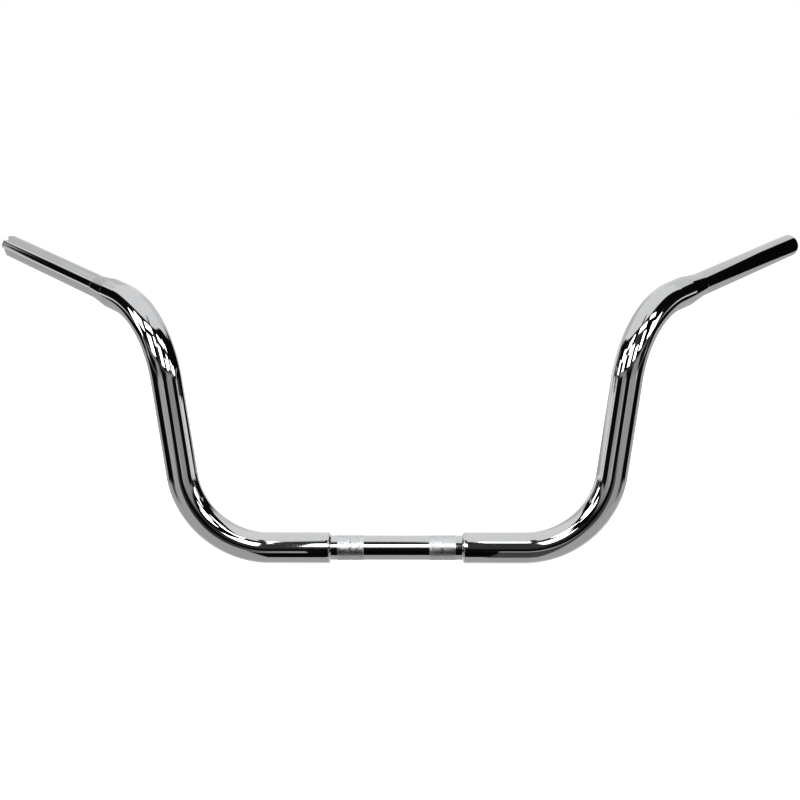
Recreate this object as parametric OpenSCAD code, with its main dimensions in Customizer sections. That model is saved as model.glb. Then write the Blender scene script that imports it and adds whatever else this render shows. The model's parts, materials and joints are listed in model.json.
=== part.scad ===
// Motorcycle handlebar: fat bent risers, joined by a slim clamp tube and ending in slim control tubes.
// Millimetres. +X is the rider's left, +Y is rearward, towards the rider, and +Z is up.
// The origin is the middle of the clamp tube, on its axis. Both legs lie in the XZ plane.

/* [Tubing] */
// Outside diameter of the riser tubes, 1-1/4 inch
riser_d = 31.75; // [31:0.05:38]
// Outside diameter of the clamp tube and the control tubes, 1 inch
slim_d = 25.4; // [22.2:0.1:25.4]
// Wall of the clamp tube and the control tubes
slim_wall = 3.05; // [2.6:0.05:3.5]
// Radial gap between the clamp tube and the riser bore that it slips into
slip_gap = 0.125; // [0.05:0.025:0.3]

/* [Bends] */
// Centreline radius of both bends, 3-1/2 inch
bend_radius = 88.9; // [70:0.1:120]
// Middle of the bar to the start of the lower bend
centre_half = 131; // [125:1:160]
// Angle of the lower bend
lower_bend = 82.5; // [60:0.5:95]
// Straight leg between the two bends
leg_l = 98; // [20:1:300]
// Turn of the tube between the two bends, which aims the controls outwards and back
bend_turn = 130.7; // [95:0.1:175]
// Angle of the upper bend
upper_bend = 74.6; // [40:0.1:90]
// Straight end of the riser past the upper bend
riser_end_l = 22; // [21:1:60]

/* [Clamp area] */
// Middle of the bar to the shoulder where a riser begins
shoulder_x = 68.5; // [60:0.5:72]
// Round on the outer edge of the shoulder
shoulder_round = 1.2; // [0.5:0.1:2]
// Length of clamp tube hidden inside each riser
clamp_insert = 45; // [30:1:50]
// Leg of the fillet weld around the shoulder
shoulder_weld_leg = 1.5; // [0.8:0.1:2]
// Diameter of the plug welds that hold the clamp tube in a riser
plug_d = 8; // [5:0.5:10]

/* [Necks] */
// Length of the cone from riser to control tube
neck_l = 28; // [18:0.5:50]
// Length of reducer inside the riser
riser_spigot_l = 20; // [10:1:21]
// Length of reducer inside the control tube
control_spigot_l = 25; // [12:1:40]
// Diameter of the hole through the reducer, for switch wires
reducer_bore_d = 14; // [8:0.5:15]
// Radial gap around both spigots
spigot_gap = 0.05; // [0.02:0.01:0.15]
// Depth of the weld groove at each end of the cone
groove = 1.2; // [0.6:0.1:1.5]

/* [Controls] */
// Length of the left control tube past the cone
control_l = 210; // [180:1:280]
// Extra length of the right, throttle-side control tube
throttle_extra = 14; // [0:0.5:20]
// Depth of the slots in the throttle-side end
slot_depth = 8; // [2:0.5:12]
// Width of the narrow pair of slots
narrow_slot_w = 5; // [2:0.1:8]
// Width of the wide pair of slots
wide_slot_w = 10; // [4:0.1:12]
// Angle of the narrow slots around the tube
narrow_slot_at = 32; // [20:1:44]
// Angle of the wide slots around the tube
wide_slot_at = 112; // [100:1:124]
// Chamfer on the outer edge of each open end
end_chamfer = 0.8; // [0.2:0.1:1.2]

/* [Hidden] */
$fn = 72;

riser_r = riser_d / 2;
slim_r = slim_d / 2;
slim_bore_r = slim_r - slim_wall;
riser_bore_r = slim_r + slip_gap;

// The neck end of a control tube is reamed a little larger, to seat the reducer's spigot.
ream_step = 0.5;
ream_r = slim_bore_r + ream_step;
ream_l = control_spigot_l + 2;
bore_chamfer = 0.5;

// A bend draws its wall thinner by a hair, so the straights lap over its ends.
bend_thinning = 0.01;
bend_lap = 0.3;

// A shoulder weld rises at most this many times its leg, on a face this many chords from its centre.
weld_steepness = 1.3;
weld_flatness = 2.2;

plug_z = shoulder_x + clamp_insert / 2;
plug_angles = [180, 270];
past_surface = 1;

// Radius of the neck's cone at a distance from the riser
function cone_r(z) = riser_r + (slim_r - riser_r) * z / neck_l;

// Children as drawn for the rider's left, or mirrored for the right
module on_side(side) {
    if (side == "right") mirror([1, 0, 0]) children();
    else children();
}

// The bar's centreline is walked from the middle outwards in the left half.
// In each frame Z runs along the tube and X points to the centre of the next bend.
module along_centre() {
    rotate([0, 90, 0]) rotate([0, 0, 180]) children();
}

module past_bend(angle) {
    translate([bend_radius, 0, 0])
        rotate([0, angle, 0])
            translate([-bend_radius, 0, 0]) children();
}

module at_lower_bend() {
    along_centre() translate([0, 0, centre_half]) children();
}

module at_leg() {
    at_lower_bend() past_bend(lower_bend) children();
}

module at_upper_bend() {
    at_leg() translate([0, 0, leg_l]) rotate([0, 0, -bend_turn]) children();
}

module at_riser_end() {
    at_upper_bend() past_bend(upper_bend) children();
}

module at_neck() {
    at_riser_end() translate([0, 0, riser_end_l]) children();
}

module at_control() {
    at_neck() translate([0, 0, neck_l]) children();
}

// Cross-section of a riser tube, with its wall thinned on both faces
module riser_ring(thinned) {
    difference() {
        circle(r = riser_r - thinned);
        circle(r = riser_bore_r + thinned);
    }
}

// A straight stretch, which laps into the bends at both its ends
module riser_straight(length) {
    translate([0, 0, -bend_lap]) linear_extrude(length + 2 * bend_lap) riser_ring(0);
}

module riser_bend(angle) {
    translate([bend_radius, 0, 0])
        rotate([0, 0, 180])
            rotate([90, 0, 0])
                rotate_extrude(angle = angle)
                    translate([bend_radius, 0]) riser_ring(bend_thinning);
}

// The riser's mouth, from the rounded shoulder into the lower bend
module riser_mouth() {
    length = centre_half - shoulder_x + bend_lap;
    rotate_extrude() difference() {
        translate([riser_bore_r, 0]) square([riser_r - riser_bore_r, length]);
        difference() {
            translate([riser_r - shoulder_round, -past_surface])
                square([shoulder_round + past_surface, shoulder_round + past_surface]);
            translate([riser_r - shoulder_round, shoulder_round]) circle(r = shoulder_round);
        }
    }
}

// The riser's upper end, bevelled for the weld
module riser_end() {
    rotate_extrude() polygon([
        [riser_bore_r, -bend_lap],
        [riser_r, -bend_lap],
        [riser_r, riser_end_l - groove],
        [riser_r - groove, riser_end_l],
        [riser_bore_r, riser_end_l]
    ]);
}

// Round bars through the riser wall into the clamp tube's surface, where the plug welds go
module plug_bars() {
    along_centre() translate([0, 0, plug_z])
        for (angle = plug_angles) rotate([0, 0, angle])
            rotate([0, 90, 0]) cylinder(d = plug_d, h = riser_r + past_surface);
}

module riser_tube(side) {
    on_side(side) difference() {
        union() {
            along_centre() translate([0, 0, shoulder_x]) riser_mouth();
            at_lower_bend() riser_bend(lower_bend);
            at_leg() riser_straight(leg_l);
            at_upper_bend() riser_bend(upper_bend);
            at_riser_end() riser_end();
        }
        plug_bars();
    }
}

// Turned cone with a spigot for the riser and one for the control tube
module neck_reducer(side) {
    bore_r = reducer_bore_d / 2;
    on_side(side) at_neck() rotate_extrude() polygon([
        [bore_r, -riser_spigot_l],
        [riser_bore_r - spigot_gap - bore_chamfer, -riser_spigot_l],
        [riser_bore_r - spigot_gap, bore_chamfer - riser_spigot_l],
        [riser_bore_r - spigot_gap, 0],
        [riser_r - groove, 0],
        [cone_r(groove), groove],
        [cone_r(neck_l - groove), neck_l - groove],
        [slim_r - groove, neck_l],
        [ream_r - spigot_gap, neck_l],
        [ream_r - spigot_gap, neck_l + control_spigot_l - bore_chamfer],
        [ream_r - spigot_gap - bore_chamfer, neck_l + control_spigot_l],
        [bore_r, neck_l + control_spigot_l]
    ]);
}

// Plain control tube, bevelled at the neck and chamfered at the open end
module control_blank(length) {
    rotate_extrude() polygon([
        [ream_r, 0],
        [slim_r - groove, 0],
        [slim_r, groove],
        [slim_r, length - end_chamfer],
        [slim_r - end_chamfer, length],
        [slim_bore_r + bore_chamfer, length],
        [slim_bore_r, length - bore_chamfer],
        [slim_bore_r, ream_l],
        [ream_r, ream_l]
    ]);
}

// A pair of slots across the open end, on opposite sides
module slot_pair(angle, width, length) {
    for (turn = [0, 180]) rotate([0, 0, angle + turn])
        translate([0, -width / 2, length - slot_depth])
            cube([slim_r + past_surface, width, slot_depth + past_surface]);
}

module control_left() {
    at_control() control_blank(control_l);
}

module control_right() {
    length = control_l + throttle_extra;
    on_side("right") at_control() difference() {
        control_blank(length);
        slot_pair(narrow_slot_at, narrow_slot_w, length);
        slot_pair(wide_slot_at, wide_slot_w, length);
    }
}

// Hollow-faced fillet between the shoulder and the clamp tube
module shoulder_weld(side) {
    run = shoulder_weld_leg;
    rise = min(riser_r - slim_r - shoulder_round, weld_steepness * run);
    face_r = sqrt(pow(rise, 2) + pow(run, 2)) * sqrt(pow(weld_flatness, 2) + 1 / 4);
    face_at = [slim_r + rise / 2 + weld_flatness * run, -run / 2 - weld_flatness * rise];
    margin = run / 4;
    on_side(side) along_centre() translate([0, 0, shoulder_x]) rotate_extrude()
        difference() {
            translate([slim_r, -run - margin]) square([rise + margin, run + margin]);
            translate(face_at) circle(r = face_r);
        }
}

// Weld dressed flush between riser and cone
module riser_weld(side) {
    on_side(side) at_neck() rotate_extrude() polygon([
        [riser_r - groove, 0],
        [riser_r, -groove],
        [riser_r, 0],
        [cone_r(groove), groove]
    ]);
}

// Weld dressed flush between cone and control tube
module control_weld(side) {
    on_side(side) at_neck() rotate_extrude() polygon([
        [slim_r - groove, neck_l],
        [cone_r(neck_l - groove), neck_l - groove],
        [slim_r, neck_l],
        [slim_r, neck_l + groove]
    ]);
}

// Two plug welds a side, dressed flush with the riser
module plug_welds(side) {
    on_side(side) intersection() {
        plug_bars();
        along_centre() translate([0, 0, plug_z - plug_d]) linear_extrude(2 * plug_d)
            difference() {
                circle(r = riser_r);
                circle(r = slim_r);
            }
    }
}

module clamp_tube() {
    half_l = shoulder_x + clamp_insert;
    color("gainsboro") along_centre() translate([0, 0, -half_l]) rotate_extrude() polygon([
        [slim_bore_r, 0],
        [slim_r - bore_chamfer, 0],
        [slim_r, bore_chamfer],
        [slim_r, 2 * half_l - bore_chamfer],
        [slim_r - bore_chamfer, 2 * half_l],
        [slim_bore_r, 2 * half_l]
    ]);
}

module riser_tube_left() { color("silver") riser_tube("left"); }
module riser_tube_right() { color("silver") riser_tube("right"); }
module neck_reducer_left() { color("lightgray") neck_reducer("left"); }
module neck_reducer_right() { color("lightgray") neck_reducer("right"); }
module control_tube_left() { color("silver") control_left(); }
module control_tube_right() { color("silver") control_right(); }
module shoulder_weld_left() { color("darkgray") shoulder_weld("left"); }
module shoulder_weld_right() { color("darkgray") shoulder_weld("right"); }
module riser_weld_left() { color("darkgray") riser_weld("left"); }
module riser_weld_right() { color("darkgray") riser_weld("right"); }
module control_weld_left() { color("darkgray") control_weld("left"); }
module control_weld_right() { color("darkgray") control_weld("right"); }
module plug_welds_left() { color("gray") plug_welds("left"); }
module plug_welds_right() { color("gray") plug_welds("right"); }

clamp_tube();
riser_tube_left();
riser_tube_right();
neck_reducer_left();
neck_reducer_right();
control_tube_left();
control_tube_right();
shoulder_weld_left();
shoulder_weld_right();
riser_weld_left();
riser_weld_right();
control_weld_left();
control_weld_right();
plug_welds_left();
plug_welds_right();
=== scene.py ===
import json
import math

import bpy
import numpy as np
from mathutils import Matrix, Vector


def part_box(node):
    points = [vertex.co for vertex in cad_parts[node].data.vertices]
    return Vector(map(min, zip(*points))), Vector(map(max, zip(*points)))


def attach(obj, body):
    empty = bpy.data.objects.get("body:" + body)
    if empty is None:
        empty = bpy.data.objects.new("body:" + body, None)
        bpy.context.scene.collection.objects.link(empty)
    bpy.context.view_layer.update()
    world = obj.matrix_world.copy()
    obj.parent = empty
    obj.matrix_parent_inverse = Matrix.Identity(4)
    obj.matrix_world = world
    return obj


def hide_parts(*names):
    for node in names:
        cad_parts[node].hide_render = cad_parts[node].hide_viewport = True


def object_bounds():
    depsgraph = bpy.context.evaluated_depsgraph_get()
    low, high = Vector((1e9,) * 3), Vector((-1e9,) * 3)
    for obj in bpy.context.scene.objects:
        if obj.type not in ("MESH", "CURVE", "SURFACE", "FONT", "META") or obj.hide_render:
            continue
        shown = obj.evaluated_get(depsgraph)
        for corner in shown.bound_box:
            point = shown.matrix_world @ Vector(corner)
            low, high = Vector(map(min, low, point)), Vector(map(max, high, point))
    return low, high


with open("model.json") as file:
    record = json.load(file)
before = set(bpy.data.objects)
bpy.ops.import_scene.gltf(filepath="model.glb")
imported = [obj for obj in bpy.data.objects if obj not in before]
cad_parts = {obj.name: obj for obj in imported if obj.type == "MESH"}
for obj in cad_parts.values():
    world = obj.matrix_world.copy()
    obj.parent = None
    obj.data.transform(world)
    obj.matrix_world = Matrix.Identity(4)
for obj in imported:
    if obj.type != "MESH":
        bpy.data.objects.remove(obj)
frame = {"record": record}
cad_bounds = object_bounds()
record = frame["record"]
mounts = {m["name"]: m for m in record["mounts"]}
finish = {m["slot"]: tuple(m["base_color"]) for m in record["materials"]}

# ---------------------------------------------------------------------------
# Sizes, in metres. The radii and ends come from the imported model.
# ---------------------------------------------------------------------------
MM = 0.001


def extent(node, axis, end):
    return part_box(node)[end][axis]


slim_r = mounts["control_left"]["dims"]["r_mm"] * MM
bore_r = mounts["bar_end_left"]["dims"]["r_mm"] * MM
riser_r = -extent("riser_tube_left", 2, 0)
shoulder_x = extent("riser_tube_left", 0, 0)
clamp_end = extent("clamp_tube", 0, 1)
plug_x = (shoulder_x + clamp_end) / 2

BEND_RADIUS = 88.9 * MM
CENTRE_HALF = 131 * MM
LOWER_BEND = math.radians(82.5)
LEG = 98 * MM
BEND_TURN = math.radians(130.7)
UPPER_BEND = math.radians(74.6)
RISER_END = 22 * MM
NECK = 28 * MM

SLIP_GAP = 0.125 * MM
SHOULDER_ROUND = 1.2 * MM
WELD_LEG = 1.5 * MM
WELD_STEEPNESS = 1.3
WELD_FLATNESS = 2.2
PLUG_R = 4 * MM
RISER_SPIGOT = 20 * MM
CONTROL_SPIGOT = 25 * MM
REDUCER_BORE_R = 7 * MM
SPIGOT_GAP = 0.05 * MM
REAM_R = bore_r + 0.5 * MM
REAM_L = 27 * MM
GROOVE = 1.2 * MM
BORE_CHAMFER = 0.5 * MM
END_CHAMFER = 0.8 * MM
CONTROL_L = 210 * MM
THROTTLE_EXTRA = 14 * MM
SLOT_DEPTH = 8 * MM
SLOTS = ((32, 5 * MM), (112, 10 * MM), (212, 5 * MM), (292, 10 * MM))

KNURL_PASSES = ((33.5 * MM, 46.85 * MM), (47.7 * MM, 60.4 * MM))
KNURL_DEPTH = 0.26 * MM
KNURL_AROUND = 68
SEGMENTS = 128
RING_STEP = 1.1 * MM

riser_bore_r = slim_r + SLIP_GAP


# ---------------------------------------------------------------------------
# The bar's centreline. A frame is a 4x4 whose Z runs outwards along the tube
# and whose X points to the centre of the next bend.
# ---------------------------------------------------------------------------
def move(z):
    return Matrix.Translation((0, 0, z))


def turn(angle):
    return Matrix.Rotation(angle, 4, "Z")


def bent(angle):
    there = Matrix.Translation((BEND_RADIUS, 0, 0))
    return there @ Matrix.Rotation(angle, 4, "Y") @ there.inverted()


CENTRE = Matrix.Rotation(math.pi / 2, 4, "Y") @ turn(math.pi)
LOWER_START = CENTRE @ move(CENTRE_HALF)
LOWER_END = LOWER_START @ bent(LOWER_BEND)
LEG_END = LOWER_END @ move(LEG)
UPPER_START = LEG_END @ turn(-BEND_TURN)
UPPER_END = UPPER_START @ bent(UPPER_BEND)
NECK_START = UPPER_END @ move(RISER_END)
CONTROL_START = NECK_START @ move(NECK)


def cone_r(z):
    return riser_r + (slim_r - riser_r) * z / NECK


# ---------------------------------------------------------------------------
# Meshes
# ---------------------------------------------------------------------------
def ring_points(matrix, radii, angles):
    """Points of one ring: radii and angles are arrays of the same length."""
    m = np.array(matrix)
    local = np.stack([radii * np.cos(angles), radii * np.sin(angles), np.zeros_like(angles)], 1)
    return local @ m[:3, :3].T + m[:3, 3]


def build(name, points, faces, kinds=None, side=1, sharp=24):
    """An object from points and faces, mirrored across X for side -1. kinds is a material index per face."""
    points = np.array(points, float)
    if side < 0:
        points[:, 0] *= -1
        faces = [f[::-1] for f in faces]
    mesh = bpy.data.meshes.new(name)
    mesh.from_pydata(points.tolist(), [], faces)
    mesh.validate()
    if kinds is not None:
        mesh.polygons.foreach_set("material_index", kinds)
    mesh.shade_smooth()
    mesh.set_sharp_from_angle(angle=math.radians(sharp))
    mesh.update()
    obj = bpy.data.objects.new(name, mesh)
    bpy.context.scene.collection.objects.link(obj)
    return obj


def closed_sweep(name, rings, inner_from, side=1, sharp=24):
    """A closed tube through rings of points, which run out along its outside and back along its inside.
    Faces of the rings from inner_from on get the second material."""
    count = len(rings[0])
    points = np.concatenate(rings)
    faces, kinds = [], []
    total = len(rings)
    for i in range(total):
        j = (i + 1) % total
        for k in range(count):
            n = (k + 1) % count
            faces.append((i * count + k, i * count + n, j * count + n, j * count + k))
            kinds.append(1 if i >= inner_from else 0)
    return build(name, points, faces, kinds, side, sharp)


AROUND = np.arange(SEGMENTS) * 2 * math.pi / SEGMENTS


def round_ring(matrix, r):
    return ring_points(matrix, np.full(SEGMENTS, r), AROUND)


def steps(a, b, step):
    return np.linspace(a, b, max(int(round(abs(b - a) / step)), 1) + 1)


def dressed(s, angle, size, seed):
    """A small, smooth, seeded unevenness around a hand-dressed weld, in metres."""
    value = np.zeros_like(angle)
    for k, (turns, phase) in enumerate(((3, 0.7), (7, 2.1), (13, 4.4), (29, 1.3), (47, 5.2))):
        value += np.sin(turns * angle + phase * seed + s * 900 * (k + 1)) / (1 + 0.6 * k)
    return value * size / 2.5


# --- risers -----------------------------------------------------------------
def riser_path(start=0.0, end=0.0):
    """Frames along a riser, from its shoulder to its upper end less end, as a list."""
    frames = [CENTRE @ move(z) for z in steps(shoulder_x + start, CENTRE_HALF, RING_STEP * 3)[:-1]]
    frames += [LOWER_START @ bent(a) for a in steps(0, LOWER_BEND, RING_STEP / BEND_RADIUS)[:-1]]
    # The frame turns steadily along the leg, so that the rings line up with both bends.
    frames += [LOWER_END @ move(z) @ turn(-BEND_TURN * z / LEG) for z in steps(0, LEG, RING_STEP)[:-1]]
    frames += [UPPER_START @ bent(a) for a in steps(0, UPPER_BEND, RING_STEP / BEND_RADIUS)[:-1]]
    frames += [UPPER_END @ move(z) for z in steps(0, RISER_END - end, RING_STEP * 2)]
    return frames


def riser(side, name):
    rings = []
    # Rounded shoulder, from the bore's edge outwards
    for a in np.linspace(0, math.pi / 2, 9):
        z = shoulder_x + SHOULDER_ROUND * (1 - math.sin(a))
        r = riser_r - SHOULDER_ROUND + SHOULDER_ROUND * math.cos(a)
        rings.append((CENTRE @ move(z), r))
    rings = [(m, r) for m, r in reversed(rings)]
    outer = [(m, riser_r) for m in riser_path(SHOULDER_ROUND, GROOVE)]
    inner = [(m, riser_bore_r) for m in riser_path(0, 0)]
    rings += outer[1:]
    split = len(rings)
    rings += [(NECK_START, riser_r - GROOVE)]
    rings += list(reversed(inner))
    return closed_sweep(name, [round_ring(m, r) for m, r in rings], split + 1, side)


# --- turned and welded pieces ------------------------------------------------
def turned(name, base, profile, inner_from, side=1, sharp=24, wobble=None, seed=1.0):
    """A closed ring of profile points (z, radius). wobble gives each point's share of unevenness."""
    rings = []
    for i, (z, r) in enumerate(profile):
        radii = np.full(SEGMENTS, r)
        if wobble is not None and wobble[i]:
            radii = radii + dressed(z, AROUND, wobble[i], seed)
        rings.append(ring_points(base @ move(z), radii, AROUND))
    return closed_sweep(name, rings, inner_from, side, sharp=sharp)


def reducer(side, name):
    spigot_in = riser_bore_r - SPIGOT_GAP
    spigot_out = REAM_R - SPIGOT_GAP
    cone = [(z, cone_r(z)) for z in steps(GROOVE, NECK - GROOVE, RING_STEP)]
    profile = [
        (-RISER_SPIGOT, spigot_in - BORE_CHAMFER),
        (BORE_CHAMFER - RISER_SPIGOT, spigot_in),
        (0, spigot_in),
        (0, riser_r - GROOVE),
        *cone,
        (NECK, slim_r - GROOVE),
        (NECK, spigot_out),
        (NECK + CONTROL_SPIGOT - BORE_CHAMFER, spigot_out),
        (NECK + CONTROL_SPIGOT, spigot_out - BORE_CHAMFER),
        (NECK + CONTROL_SPIGOT, REDUCER_BORE_R),
        (-RISER_SPIGOT, REDUCER_BORE_R),
    ]
    return turned(name, NECK_START, profile, len(cone) + 4, side)


def flush_weld(side, name, at, seed):
    """A weld dressed flush, over a groove on each side of at along the neck."""
    outside = []
    for z in steps(at - GROOVE, at + GROOVE, 0.2 * MM):
        if z < 0:
            r = riser_r
        elif z > NECK:
            r = slim_r
        else:
            r = cone_r(z)
        outside.append((z, r))
    # The dressing rounds off the corner between cone and tube.
    radii = [r for _, r in outside]
    for _ in range(6):
        radii = (
            [radii[0]]
            + [(a + 2 * b + c) / 4 for a, b, c in zip(radii, radii[1:], radii[2:])]
            + [radii[-1]]
        )
    profile = [(z, r) for (z, _), r in zip(outside, radii)] + [(at, radii[len(radii) // 2] - GROOVE)]
    wobble = [0.015 * MM * math.sin(math.pi * k / (len(outside) - 1)) for k in range(len(outside))] + [0]
    return turned(name, NECK_START, profile, len(profile), side, wobble=wobble, seed=seed)


def shoulder_weld(side, name, seed):
    """Hollow-faced fillet between shoulder and clamp tube, its face a little uneven."""
    rise = min(riser_r - slim_r - SHOULDER_ROUND, WELD_STEEPNESS * WELD_LEG)
    middle_z = shoulder_x - WELD_LEG / 2 - WELD_FLATNESS * rise
    middle_r = slim_r + rise / 2 + WELD_FLATNESS * WELD_LEG
    face_r = math.hypot(rise, WELD_LEG) * math.hypot(WELD_FLATNESS, 0.5)
    low = math.atan2(slim_r - middle_r, shoulder_x - WELD_LEG - middle_z)
    high = math.atan2(slim_r + rise - middle_r, shoulder_x - middle_z)
    face = [
        (middle_z + face_r * math.cos(a), middle_r + face_r * math.sin(a))
        for a in np.linspace(low, high, 11)
    ]
    profile = face + [(shoulder_x, slim_r)]
    wobble = [0.05 * MM * math.sin(math.pi * k / (len(face) - 1)) for k in range(len(face))] + [0]
    return turned(name, CENTRE, profile, len(profile), side, sharp=40, wobble=wobble, seed=seed)


def plug_caps(side, name):
    """Two flush plug welds: from the clamp tube to a hair above the riser's skin, crowned at the edge."""
    points, faces = [], []
    proud = 0.03 * MM
    spokes = 48
    for angle in (math.pi, 1.5 * math.pi):
        base = len(points)
        m = np.array(CENTRE @ move(plug_x) @ turn(angle))
        radii = [0.0, 0.35, 0.6, 0.8, 0.92, 1.0]
        for level, share in enumerate(radii):
            ring = 1 if share == 0 else spokes
            for k in range(ring):
                a = 2 * math.pi * k / spokes
                rough = 0.012 * MM * math.sin(5 * a + 9 * share) * share
                y, z = PLUG_R * share * math.cos(a), PLUG_R * share * math.sin(a)
                height = proud * (1 - share**6) + rough * (1 - share)
                r = riser_r + height - (0.02 * MM if share == 1 else 0)
                points.append(m[:3, :3] @ np.array([math.sqrt(r * r - y * y), y, z]) + m[:3, 3])
        foot = len(points)
        for k in range(spokes):
            a = 2 * math.pi * k / spokes
            y, z = PLUG_R * math.cos(a), PLUG_R * math.sin(a)
            points.append(m[:3, :3] @ np.array([math.sqrt(slim_r**2 - y * y), y, z]) + m[:3, 3])
        middle = len(points)
        points.append(m[:3, :3] @ np.array([slim_r, 0, 0]) + m[:3, 3])
        first = base + 1
        for k in range(spokes):
            n = (k + 1) % spokes
            faces.append((base, first + k, first + n))
            for level in range(len(radii) - 2):
                a, b = first + level * spokes, first + (level + 1) * spokes
                faces.append((a + k, b + k, b + n, a + n))
            rim = first + (len(radii) - 2) * spokes
            faces.append((rim + k, foot + k, foot + n, rim + n))
            faces.append((foot + k, middle, foot + n))
    return build(name, points, faces, None, side)


# --- control tubes -----------------------------------------------------------
def control(side, name, length, slots):
    """A control tube: out to the open end and back along the bore. slots are (degrees, width) pairs."""
    edges = []
    for degrees, width in slots:
        edges.append((math.radians(degrees), width))
    outer_angles, inner_angles, in_slot = [], [], []

    def half(width, r):
        return math.asin(width / 2 / r)

    if edges:
        # Columns follow each slot's parallel sides, so they sit at other angles outside than inside.
        spans = []
        for k, (at, width) in enumerate(edges):
            spans.append((at, width, True))
            nxt, nxt_width = edges[(k + 1) % len(edges)]
            if k == len(edges) - 1:
                nxt += 2 * math.pi
            spans.append(((at, width), (nxt, nxt_width), False))
        for span in spans:
            if span[2]:
                at, width, _ = span
                columns = max(int(round(2 * half(width, slim_r) / (2 * math.pi) * SEGMENTS)), 2)
                for c in range(columns):
                    t = c / columns * 2 - 1
                    outer_angles.append(at + t * half(width, slim_r))
                    inner_angles.append(at + t * half(width, bore_r))
                    in_slot.append(True)
            else:
                (a, wa), (b, wb), _ = span
                arc = b - half(wb, slim_r) - a - half(wa, slim_r)
                columns = max(int(round(arc / (2 * math.pi) * SEGMENTS)), 2)
                for c in range(columns):
                    t = c / columns
                    outer_angles.append((a + half(wa, slim_r)) * (1 - t) + (b - half(wb, slim_r)) * t)
                    inner_angles.append((a + half(wa, bore_r)) * (1 - t) + (b - half(wb, bore_r)) * t)
                    in_slot.append(False)
    else:
        outer_angles = list(AROUND)
        inner_angles = list(AROUND)
        in_slot = [False] * SEGMENTS
    outer_angles = np.array(outer_angles)
    inner_angles = np.array(inner_angles)
    count = len(outer_angles)

    lip = 0.12 * MM
    slot_from = length - SLOT_DEPTH
    outside = [(z, slim_r) for z in steps(GROOVE, slot_from, RING_STEP * 2)]
    outside += [(z, slim_r) for z in steps(slot_from, length - END_CHAMFER - lip, RING_STEP * 2)[1:]]
    outside += [
        (length - END_CHAMFER + lip * 0.4, slim_r - lip * 0.4),
        (length - lip, slim_r - END_CHAMFER + lip * 0.4),
    ]
    outside += [(length, slim_r - END_CHAMFER - lip * 0.6)]
    inside = [(length, bore_r + BORE_CHAMFER), (length - BORE_CHAMFER, bore_r)]
    inside += [(z, bore_r) for z in steps(length - BORE_CHAMFER, slot_from, RING_STEP * 2)[1:]]
    inside += [(z, bore_r) for z in steps(slot_from, REAM_L, RING_STEP * 6)[1:]]
    inside += [(REAM_L, REAM_R), (0, REAM_R), (0, slim_r - GROOVE)]
    levels = [(z, r, outer_angles, 0) for z, r in outside] + [(z, r, inner_angles, 1) for z, r in inside]

    points = np.concatenate(
        [ring_points(CONTROL_START @ move(z), np.full(count, r), angles) for z, r, angles, _ in levels]
    )
    total = len(levels)

    last_outer = max(i for i in range(len(outside)) if levels[i][0] <= slot_from + 1e-9)
    first_inner = len(outside) + min(i for i in range(len(inside)) if inside[i][0] <= slot_from + 1e-9)
    faces, kinds = [], []
    for i in range(total):
        j = (i + 1) % total
        cut = last_outer <= i < first_inner
        for k in range(count):
            if cut and in_slot[k]:
                continue
            n = (k + 1) % count
            faces.append((i * count + k, i * count + n, j * count + n, j * count + k))
            kinds.append(levels[i][3] if i >= len(outside) else 0)
    # Slot floors, and each slot's two side walls, which bridge outside and inside level by level
    for k in range(count):
        if not in_slot[k]:
            continue
        n = (k + 1) % count
        outer_row, inner_row = last_outer * count, first_inner * count
        faces.append((outer_row + k, outer_row + n, inner_row + n, inner_row + k))
        kinds.append(0)
    if edges:
        for k in range(count):
            before = in_slot[k - 1]
            if in_slot[k] == before:
                continue
            # The wall's outline runs out along the outside and back along the inside.
            outline = [i * count + k for i in range(last_outer, first_inner + 1)]
            faces.append(tuple(outline[::-1] if in_slot[k] else outline))
            kinds.append(0)
    return build(name, points, faces, kinds, side, 30)


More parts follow.
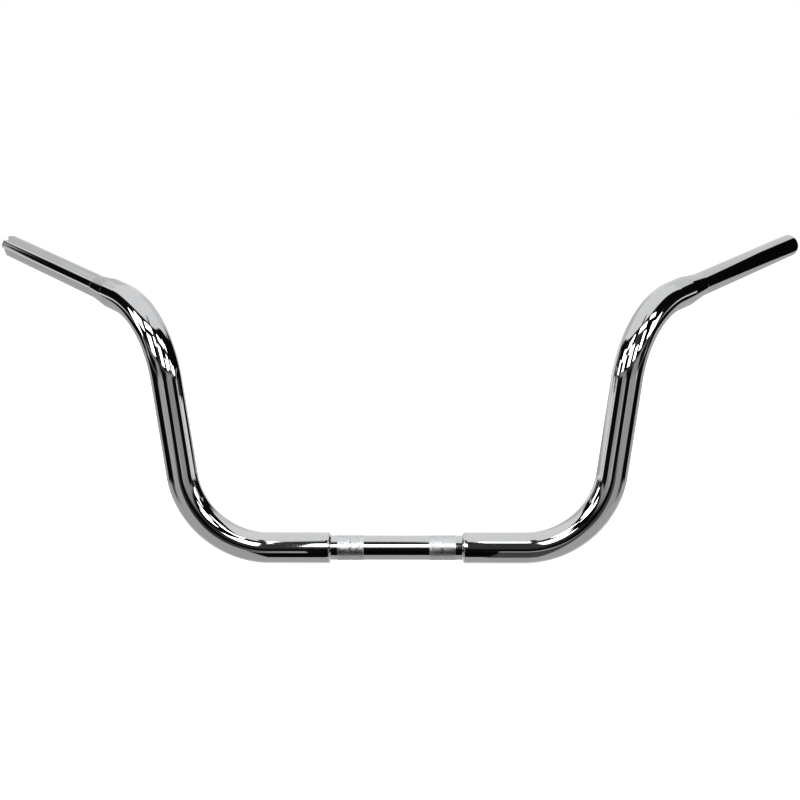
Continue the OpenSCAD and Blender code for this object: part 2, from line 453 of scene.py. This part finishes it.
# --- clamp tube --------------------------------------------------------------
def clamp(name):
    """The clamp tube, with two diamond-knurled bands a side, each rolled in two passes."""
    per_turn = 4
    count = KNURL_AROUND * per_turn
    pitch = 2 * math.pi * slim_r / KNURL_AROUND
    angles = np.arange(count) * 2 * math.pi / count
    levels = []

    def plain(a, b, step=3 * MM):
        for x in steps(a, b, step):
            levels.append((x, np.zeros(count)))

    def knurled(a, b, phase):
        rows = int(round((b - a) / (pitch / per_turn)))
        for x in np.linspace(a, b, rows + 1):
            u = angles / (2 * math.pi) * KNURL_AROUND
            v = (x - a) / pitch + phase
            first = np.abs(((u + v) % 1.0) * 2 - 1)
            second = np.abs(((u - v) % 1.0) * 2 - 1)
            diamond = np.minimum(first, second)
            # The wheel leaves shallower diamonds at a pass's edges, and the crests stand a little proud.
            edge = min(1.0, min(x - a, b - x) / (0.35 * MM))
            height = (0.16 - 1.0 * (1 - np.minimum(diamond * 1.25, 1.0))) * KNURL_DEPTH
            levels.append((x, height * edge))

    marks = sorted([(-b, -a, 0.37) for a, b in KNURL_PASSES] + [(a, b, 0.12) for a, b in KNURL_PASSES])
    at = -clamp_end + BORE_CHAMFER
    for index, (a, b, phase) in enumerate(marks):
        plain(at, a - 0.02 * MM)
        knurled(a, b, phase + 0.31 * index)
        at = b + 0.02 * MM
    plain(at, clamp_end - BORE_CHAMFER)
    rings = [ring_points(CENTRE @ move(x), slim_r + h, angles) for x, h in levels]
    split = len(rings)
    for x, r in (
        (clamp_end, slim_r - BORE_CHAMFER),
        (clamp_end, bore_r),
        (-clamp_end, bore_r),
        (-clamp_end, slim_r - BORE_CHAMFER),
    ):
        rings.append(ring_points(CENTRE @ move(x), np.full(count, r), angles))
    obj = closed_sweep(name, rings, split + 1, 1, sharp=34)
    # Knurled faces take the third material.
    kinds = np.zeros(len(obj.data.polygons), int)
    obj.data.polygons.foreach_get("material_index", kinds)
    for i in range(split - 1):
        middle = abs(levels[i][0] + levels[i + 1][0]) / 2
        if any(a < middle < b for a, b in KNURL_PASSES):
            kinds[i * count : (i + 1) * count] = 2
    obj.data.polygons.foreach_set("material_index", kinds)
    return obj


# ---------------------------------------------------------------------------
# Materials
# ---------------------------------------------------------------------------
class Shader:
    """A small builder for node materials."""

    def __init__(self, name):
        self.material = bpy.data.materials.new(name)
        self.material.use_nodes = True
        self.tree = self.material.node_tree
        self.tree.nodes.clear()
        self.out = self.add("ShaderNodeOutputMaterial")
        self.bsdf = self.add("ShaderNodeBsdfPrincipled")
        self.link(self.bsdf.outputs[0], self.out.inputs[0])
        self.coords = self.add("ShaderNodeTexCoord").outputs["Object"]

    def add(self, kind, **values):
        node = self.tree.nodes.new(kind)
        for key, value in values.items():
            if hasattr(node, key):
                setattr(node, key, value)
            else:
                node.inputs[key.replace("_", " ")].default_value = value
        return node

    def link(self, a, b):
        self.tree.links.new(a, b)

    def noise(self, scale, detail=2.0, roughness=0.5, stretch=None):
        source = self.coords
        if stretch:
            mapping = self.add("ShaderNodeMapping")
            mapping.inputs["Scale"].default_value = stretch
            self.link(source, mapping.inputs[0])
            source = mapping.outputs[0]
        node = self.add("ShaderNodeTexNoise")
        node.inputs["Scale"].default_value = scale
        node.inputs["Detail"].default_value = detail
        node.inputs["Roughness"].default_value = roughness
        self.link(source, node.inputs["Vector"])
        return node.outputs["Fac"]

    def remap(self, value, a, b, c, d):
        node = self.add("ShaderNodeMapRange")
        self.link(value, node.inputs["Value"])
        for key, v in (("From Min", a), ("From Max", b), ("To Min", c), ("To Max", d)):
            node.inputs[key].default_value = v
        return node.outputs[0]

    def math(self, operation, a, b):
        node = self.add("ShaderNodeMath", operation=operation)
        for socket, value in zip(node.inputs, (a, b)):
            if isinstance(value, (int, float)):
                socket.default_value = value
            else:
                self.link(value, socket)
        return node.outputs[0]

    def ramp(self, value, stops):
        node = self.add("ShaderNodeValToRGB")
        elements = node.color_ramp.elements
        while len(elements) > 1:
            elements.remove(elements[-1])
        for k, (at, colour) in enumerate(stops):
            e = elements[0] if k == 0 else elements.new(at)
            e.position = at
            e.color = (*colour, 1)
        self.link(value, node.inputs[0])
        return node.outputs[0]

    def bump(self, height, distance, strength=1.0, normal=None):
        node = self.add("ShaderNodeBump")
        node.inputs["Strength"].default_value = strength
        node.inputs["Distance"].default_value = distance
        self.link(height, node.inputs["Height"])
        if normal is not None:
            self.link(normal, node.inputs["Normal"])
        return node.outputs[0]


def shade(colour, share):
    return tuple(c * share for c in colour)


def chrome(name, colour, rough=0.035, haze=0.02, waves=0.00002):
    """Mirror chrome plate: faint polishing haze, fine rough specks and a polished tube's slight waviness."""
    s = Shader(name)
    s.bsdf.inputs["Metallic"].default_value = 1.0
    cloud = s.noise(38, 3.0, 0.55)
    s.link(
        s.ramp(cloud, ((0.3, shade(colour, 0.97)), (0.7, shade(colour, 1.02)))),
        s.bsdf.inputs["Base Color"],
    )
    speck = s.noise(900, 2.0, 0.6)
    smear = s.noise(60, 4.0, 0.6)
    level = s.math(
        "ADD",
        s.remap(smear, 0.35, 0.75, rough, rough + haze),
        s.remap(speck, 0.62, 0.85, 0.0, haze * 1.5),
    )
    s.link(level, s.bsdf.inputs["Roughness"])
    slow = s.noise(22, 1.0, 0.4)
    s.link(s.bump(slow, waves * 10, 0.25), s.bsdf.inputs["Normal"])
    return s.material


def weld_chrome(name, colour):
    """Dressed weld under the plate: small file marks and shallow pits that the polish left."""
    s = Shader(name)
    s.bsdf.inputs["Metallic"].default_value = 1.0
    cloud = s.noise(160, 3.0, 0.6)
    s.link(
        s.ramp(cloud, ((0.3, shade(colour, 0.9)), (0.7, shade(colour, 1.05)))),
        s.bsdf.inputs["Base Color"],
    )
    pits = s.noise(1400, 3.0, 0.65)
    s.link(s.remap(pits, 0.4, 0.75, 0.08, 0.2), s.bsdf.inputs["Roughness"])
    lumps = s.noise(420, 2.0, 0.5)
    first = s.bump(lumps, 0.00012, 0.35)
    s.link(s.bump(pits, 0.00003, 0.4, first), s.bsdf.inputs["Normal"])
    return s.material


def satin_knurl(name, colour):
    """Knurled crests under the plate, with a satin sheen."""
    s = Shader(name)
    s.bsdf.inputs["Metallic"].default_value = 1.0
    cloud = s.noise(260, 3.0, 0.6)
    s.link(
        s.ramp(cloud, ((0.3, shade(colour, 0.98)), (0.7, shade(colour, 1.12)))),
        s.bsdf.inputs["Base Color"],
    )
    grain = s.noise(2600, 2.0, 0.6)
    s.link(s.remap(grain, 0.3, 0.7, 0.2, 0.33), s.bsdf.inputs["Roughness"])
    s.link(s.bump(grain, 0.00002, 0.3), s.bsdf.inputs["Normal"])
    return s.material


def bare_bore(name):
    """Inside of a tube: thin, uneven plate over drawn steel, with a fine, uneven grain."""
    s = Shader(name)
    s.bsdf.inputs["Metallic"].default_value = 1.0
    stain = s.noise(70, 5.0, 0.65)
    s.link(
        s.ramp(stain, ((0.3, (0.16, 0.155, 0.15)), (0.55, (0.24, 0.235, 0.225)), (0.8, (0.2, 0.165, 0.13)))),
        s.bsdf.inputs["Base Color"],
    )
    scale = s.noise(700, 3.0, 0.6)
    s.link(s.remap(scale, 0.3, 0.7, 0.34, 0.55), s.bsdf.inputs["Roughness"])
    s.link(s.bump(scale, 0.00005, 0.4), s.bsdf.inputs["Normal"])
    return s.material


# ---------------------------------------------------------------------------
# The object
# ---------------------------------------------------------------------------
bore_material = bare_bore("bore_steel")
riser_material = chrome("riser_chrome", finish["chrome"])
neck_material = chrome("neck_chrome", finish["neck_chrome"], rough=0.04)
control_material = chrome("control_chrome", finish["control_chrome"], rough=0.03)
clamp_material = chrome("clamp_chrome", finish["knurled_chrome"], rough=0.04, haze=0.03)
knurl_material = satin_knurl("knurled_chrome", finish["knurled_chrome"])
weld_material = weld_chrome("weld_chrome", finish["chromed_weld"])
# The flush welds are polished with the tubes beside them, so no seam shows.
flush_material = chrome("flush_weld_chrome", finish["neck_chrome"], rough=0.04)


def settle(obj, node, slot, *materials):
    for material in materials:
        obj.data.materials.append(material)
    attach(obj, "root")
    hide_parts(node)


settle(
    clamp("clamp_tube_visual"), "clamp_tube", "knurled_chrome",
    clamp_material, bore_material, knurl_material,
)
for side, word in ((1, "left"), (-1, "right")):
    settle(
        riser(side, f"riser_tube_{word}_visual"), f"riser_tube_{word}", "chrome",
        riser_material, bore_material,
    )
    settle(
        reducer(side, f"neck_reducer_{word}_visual"), f"neck_reducer_{word}", "neck_chrome",
        neck_material, bore_material,
    )
    slots = SLOTS if side < 0 else ()
    length = CONTROL_L + (THROTTLE_EXTRA if side < 0 else 0)
    settle(
        control(side, f"control_tube_{word}_visual", length, slots),
        f"control_tube_{word}",
        "control_chrome",
        control_material,
        bore_material,
    )
    settle(
        shoulder_weld(side, f"shoulder_weld_{word}_visual", 1.7 + side),
        f"shoulder_weld_{word}", "chromed_weld", weld_material,
    )
    settle(
        flush_weld(side, f"riser_weld_{word}_visual", 0, 2.3 + side),
        f"riser_weld_{word}", "chromed_weld", flush_material,
    )
    settle(
        flush_weld(side, f"control_weld_{word}_visual", NECK, 3.1 + side),
        f"control_weld_{word}", "chromed_weld", flush_material,
    )
    settle(plug_caps(side, f"plug_welds_{word}_visual"), f"plug_welds_{word}", "chromed_weld", weld_material)


# ---------------------------------------------------------------------------
# Studio
# ---------------------------------------------------------------------------
def studio_world():
    """A white room behind, above and below, and a dim room on the camera's side, where the soft boxes stand
    as lamps of their own.
    """
    world = bpy.data.worlds.new("studio")
    bpy.context.scene.world = world
    world.use_nodes = True
    tree = world.node_tree
    tree.nodes.clear()
    link = tree.links.new

    def node(kind, **values):
        n = tree.nodes.new(kind)
        for key, value in values.items():
            setattr(n, key, value)
        return n

    def calc(operation, a, b=0.0):
        n = node("ShaderNodeMath", operation=operation)
        for socket, value in zip(n.inputs, (a, b)):
            if isinstance(value, (int, float)):
                socket.default_value = value
            else:
                link(value, socket)
        return n.outputs[0]

    direction = node("ShaderNodeTexCoord").outputs["Generated"]
    parts = node("ShaderNodeSeparateXYZ")
    link(direction, parts.inputs[0])
    x, y, z = parts.outputs
    degrees = 180 / math.pi
    azimuth = calc("MULTIPLY", calc("ARCTAN2", x, calc("MULTIPLY", y, -1.0)), degrees)
    height = calc("MULTIPLY", calc("ARCSINE", z), degrees)

    def step(value, at, soft):
        n = node("ShaderNodeMapRange", interpolation_type="SMOOTHSTEP")
        link(value, n.inputs["Value"])
        n.inputs["From Min"].default_value = at - soft
        n.inputs["From Max"].default_value = at + soft
        return n.outputs[0]

    def zone(az_from, az_to, el_from, el_to, soft_az, soft_el):
        sides = calc(
            "MULTIPLY",
            step(azimuth, az_from, soft_az),
            calc("SUBTRACT", 1.0, step(azimuth, az_to, soft_az)),
        )
        ends = calc(
            "MULTIPLY",
            step(height, el_from, soft_el),
            calc("SUBTRACT", 1.0, step(height, el_to, soft_el)),
        )
        return calc("MULTIPLY", sides, ends)

    def under_arch(az_from, az_to, el_from, heights, soft_az, soft_el):
        """A zone whose upper edge is a line through (azimuth, elevation) points."""
        across = node("ShaderNodeMapRange")
        link(azimuth, across.inputs["Value"])
        across.inputs["From Min"].default_value = -180
        across.inputs["From Max"].default_value = 180
        curve = node("ShaderNodeValToRGB")
        link(across.outputs[0], curve.inputs[0])
        stops = curve.color_ramp.elements
        stops.remove(stops[1])
        for k, (at, el) in enumerate(heights):
            stop = stops[0] if k == 0 else stops.new((at + 180) / 360)
            stop.position = (at + 180) / 360
            stop.color = (el / 90, el / 90, el / 90, 1)
        over = calc("SUBTRACT", height, calc("MULTIPLY", curve.outputs[0], 90.0))
        sides = calc(
            "MULTIPLY",
            step(azimuth, az_from, soft_az),
            calc("SUBTRACT", 1.0, step(azimuth, az_to, soft_az)),
        )
        ends = calc("MULTIPLY", step(height, el_from, soft_el), calc("SUBTRACT", 1.0, step(over, 0, soft_el)))
        return calc("MULTIPLY", sides, ends)

    def paint(base, mask, level):
        n = node("ShaderNodeMix", data_type="FLOAT")
        link(mask, n.inputs[0])
        if isinstance(base, (int, float)):
            n.inputs[2].default_value = base
        else:
            link(base, n.inputs[2])
        n.inputs[3].default_value = level
        return n.outputs[0]

    zones = (
        # The floor, dimmer below and in front than behind
        (-200, 200, -95, -52, 5, 6, 0.5),
        (-128, 128, -60, -13, 9, 3, 0.5),
        (-190, -108, -24, -3, 8, 2, 0.5),
        (108, 190, -24, -5, 8, 2, 0.52),
        (-168, -120, 15, 40, 6, 4, 0.66),
        (116, 172, 12, 50, 6, 4, 0.8),
    )
    dim_zones = (
        # The dim room in front
        (-78, 76, -6, 34, 3, 2, 0.004),
        (-14, 16, 4, 47, 4, 4, 0.045),
        (-11, 1, 50, 71, 3, 2, 0.05),
        # Its ends, seen along the swept-back tubes
        (103, 121, 2, 36, 1.5, 2, 0.004),
        (116, 145, -5, 28, 2, 1.5, 0.004),
        (-115.5, -107, 20, 29, 1, 2, 0.004),
        (-125, -114, 0, 25, 2, 2, 0.004),
        # Dark flags low at the sides
        (-84, -62, -28, -14, 8, 5, 0.06),
        (62, 88, -28, -14, 8, 5, 0.06),
        (-106, -55, -20, -6.5, 3, 2, 0.004),
        (62, 106, -20, -6.5, 3, 2, 0.004),
        # Grey table tops in front, with gaps between them
        (-48, -14, -30, -1, 4, 4, 0.5),
        (14, 57, -30, -1, 5, 4, 0.42),
        (-56, -48, -12, -4, 2, 2, 0.004),
        (18, 66, -6, 7, 8, 3, 0.36),
        (-66, -22, -6, 7, 8, 3, 0.36),
        (-77, -42, -7, 3, 2, 2, 0.004),
        (52, 81, -7, 4, 2, 2, 0.004),
        # The camera and its stand
        (-13, 13, -14, 4, 2, 3, 0.004),
        (-19, -8, -24, -11, 2, 2, 0.05),
        (8, 20, -22, -12, 2, 2, 0.05),
        (-9, 4, -56, -26, 3, 4, 0.03),
    )
    arch = ((-113, 30), (-104, 34), (-90, 37), (-75, 42), (-60, 47), (-40, 53), (-20, 57), (0, 58))
    arch += ((60, 58), (80, 56), (92, 52), (101, 46), (108, 38), (121, 36))
    room = 0.96
    for *edges, level in zones:
        room = paint(room, zone(*edges), level)
    room = paint(room, under_arch(-112, 108, 2, arch, 1, 1.5), 0.004)
    for *edges, level in dim_zones:
        room = paint(room, zone(*edges), level)

    seen = node("ShaderNodeLightPath").outputs["Is Camera Ray"]
    mix = node("ShaderNodeMix", data_type="FLOAT")
    link(seen, mix.inputs[0])
    link(room, mix.inputs[2])
    mix.inputs[3].default_value = 1.0
    back = node("ShaderNodeBackground")
    back.inputs["Color"].default_value = (1, 1, 1, 1)
    link(mix.outputs[0], back.inputs["Strength"])
    out = node("ShaderNodeOutputWorld")
    link(back.outputs[0], out.inputs[0])


def facing(obj, middle, azimuth):
    """Stand obj upright at middle, facing the bar. azimuth is where its back points, in degrees."""
    obj.matrix_world = (
        Matrix.Translation(middle)
        @ Matrix.Rotation(math.radians(azimuth), 4, "Z")
        @ Matrix.Rotation(math.pi / 2, 4, "X")
    )
    bpy.context.scene.collection.objects.link(obj)
    obj.visible_camera = False


def soft_box(name, middle, width, tall, azimuth, radiance):
    light = bpy.data.lights.new(name, "AREA")
    light.shape = "RECTANGLE"
    light.size, light.size_y = width, tall
    light.energy = radiance * math.pi * width * tall
    facing(bpy.data.objects.new(name, light), middle, azimuth)


def card_paint(name, level):
    s = Shader(name)
    tones = ((0.3, (level * 0.8,) * 3), (0.7, (level * 1.2,) * 3))
    s.link(s.ramp(s.noise(5.0), tones), s.bsdf.inputs["Base Color"])
    s.bsdf.inputs["Roughness"].default_value = 0.9
    s.bsdf.inputs["Specular IOR Level"].default_value = 0.0
    return s.material


def card(name, middle, width, tall, azimuth, paint):
    """A dark card that only the chrome sees."""
    w, h = width / 2, tall / 2
    mesh = bpy.data.meshes.new(name)
    mesh.from_pydata([(-w, -h, 0), (w, -h, 0), (w, h, 0), (-w, h, 0)], [], [(0, 1, 2, 3)])
    mesh.materials.append(paint)
    obj = bpy.data.objects.new(name, mesh)
    facing(obj, middle, azimuth)
    obj.visible_diffuse = False
    obj.visible_shadow = False


def plain_floor():
    low = cad_bounds[0][2] - MM
    reach, count = 12.0, 24
    points = [
        (reach * (i / count * 2 - 1), reach * (j / count * 2 - 1), low)
        for j in range(count + 1)
        for i in range(count + 1)
    ]
    faces = [
        (
            j * (count + 1) + i,
            j * (count + 1) + i + 1,
            (j + 1) * (count + 1) + i + 1,
            (j + 1) * (count + 1) + i,
        )
        for j in range(count)
        for i in range(count)
    ]
    mesh = bpy.data.meshes.new("floor")
    mesh.from_pydata(points, [], faces)
    floor = bpy.data.objects.new("floor", mesh)
    bpy.context.scene.collection.objects.link(floor)
    s = Shader("pale_floor")
    grain = s.noise(3.0, 3.0, 0.5)
    s.link(s.ramp(grain, ((0.3, (0.9, 0.9, 0.9)), (0.7, (0.93, 0.93, 0.93)))), s.bsdf.inputs["Base Color"])
    s.bsdf.inputs["Roughness"].default_value = 0.9
    s.bsdf.inputs["Specular IOR Level"].default_value = 0.0
    s.bsdf.inputs["Emission Color"].default_value = (1, 1, 1, 1)
    s.bsdf.inputs["Emission Strength"].default_value = 0.75
    mesh.materials.append(s.material)
    floor.visible_glossy = False
    floor.visible_diffuse = False


def photo_camera():
    data = bpy.data.cameras.new("camera")
    data.sensor_width = 36
    data.lens = 55.891
    camera = bpy.data.objects.new("camera", data)
    bpy.context.scene.collection.objects.link(camera)
    azimuth, elevation, roll = math.radians(1.1782), math.radians(8.3975), math.radians(0.2491)
    back = Vector(
        (
            math.sin(azimuth) * math.cos(elevation),
            -math.cos(azimuth) * math.cos(elevation),
            math.sin(elevation),
        )
    )
    forward = -back
    right = Vector((math.cos(azimuth), math.sin(azimuth), 0))
    down = forward.cross(right)
    x = right * math.cos(roll) + down * math.sin(roll)
    y = right * math.sin(roll) - down * math.cos(roll)
    aim_right, aim_down, distance = -0.003426, 0.151662, 1.276358
    eye = -(x * aim_right - y * aim_down + forward * distance)
    camera.matrix_world = Matrix(
        (
            (x[0], y[0], back[0], eye[0]),
            (x[1], y[1], back[1], eye[1]),
            (x[2], y[2], back[2], eye[2]),
            (0, 0, 0, 1),
        )
    )
    bpy.context.scene.camera = camera


studio_world()
for name, middle, width, tall, azimuth, radiance in (
    ("box_low_middle", (-0.06, -1.0, 0.64), 0.28, 0.52, 0, 6.0),
    ("box_low_middle_left", (-0.37, -1.0, 0.9), 0.14, 0.3, 0, 6.0),
    ("box_low_middle_right", (0.46, -1.0, 0.54), 0.22, 0.3, 0, 6.0),
    ("box_low_right", (0.93, -1.0, 0.74), 0.28, 0.5, 0, 6.0),
    ("box_low_far_right", (2.25, -1.0, 0.86), 0.8, 0.62, 0, 5.4),
    ("box_low_side_right", (1.7, -0.42, 0.55), 0.3, 0.36, 65, 5.4),
    ("box_low_left", (-1.02, -1.0, 0.66), 0.5, 0.5, 0, 6.0),
    ("box_low_side_left", (-1.72, -0.29, 0.6), 0.3, 0.5, -75, 5.4),
    ("box_high_middle", (0.49, -1.0, 1.36), 0.66, 0.36, 0, 6.0),
    ("box_high_right", (1.45, -1.0, 1.72), 0.8, 0.44, 0, 5.4),
    ("box_high_left", (-0.7, -1.0, 1.36), 0.74, 0.4, 0, 6.0),
    ("box_high_far_left", (-1.85, -0.85, 1.25), 0.65, 0.65, -40, 5.4),
):
    soft_box(name, middle, width, tall, azimuth, radiance)
black = card_paint("card_black", 0.004)
grey = card_paint("card_grey", 0.12)
for name, middle, width, tall, azimuth, paint in (
    ("card_front", (0.0, -0.35, -0.32), 0.25, 0.5, 0, black),
    ("card_low_left", (-0.165, -0.352, -0.42), 0.12, 0.5, 0, black),
    ("card_low_right", (0.205, -0.352, -0.42), 0.16, 0.6, 0, grey),
    ("card_side_left", (-0.55, 0.05, 0.205), 0.2, 0.07, -90, black),
    ("card_side_right", (0.55, 0.055, 0.205), 0.21, 0.07, 90, black),
    ("card_right", (0.85, 0.38, 0.44), 0.28, 0.56, 112, black),
):
    card(name, middle, width, tall, azimuth, paint)
plain_floor()
photo_camera()
bpy.context.scene.view_settings.view_transform = "Standard"
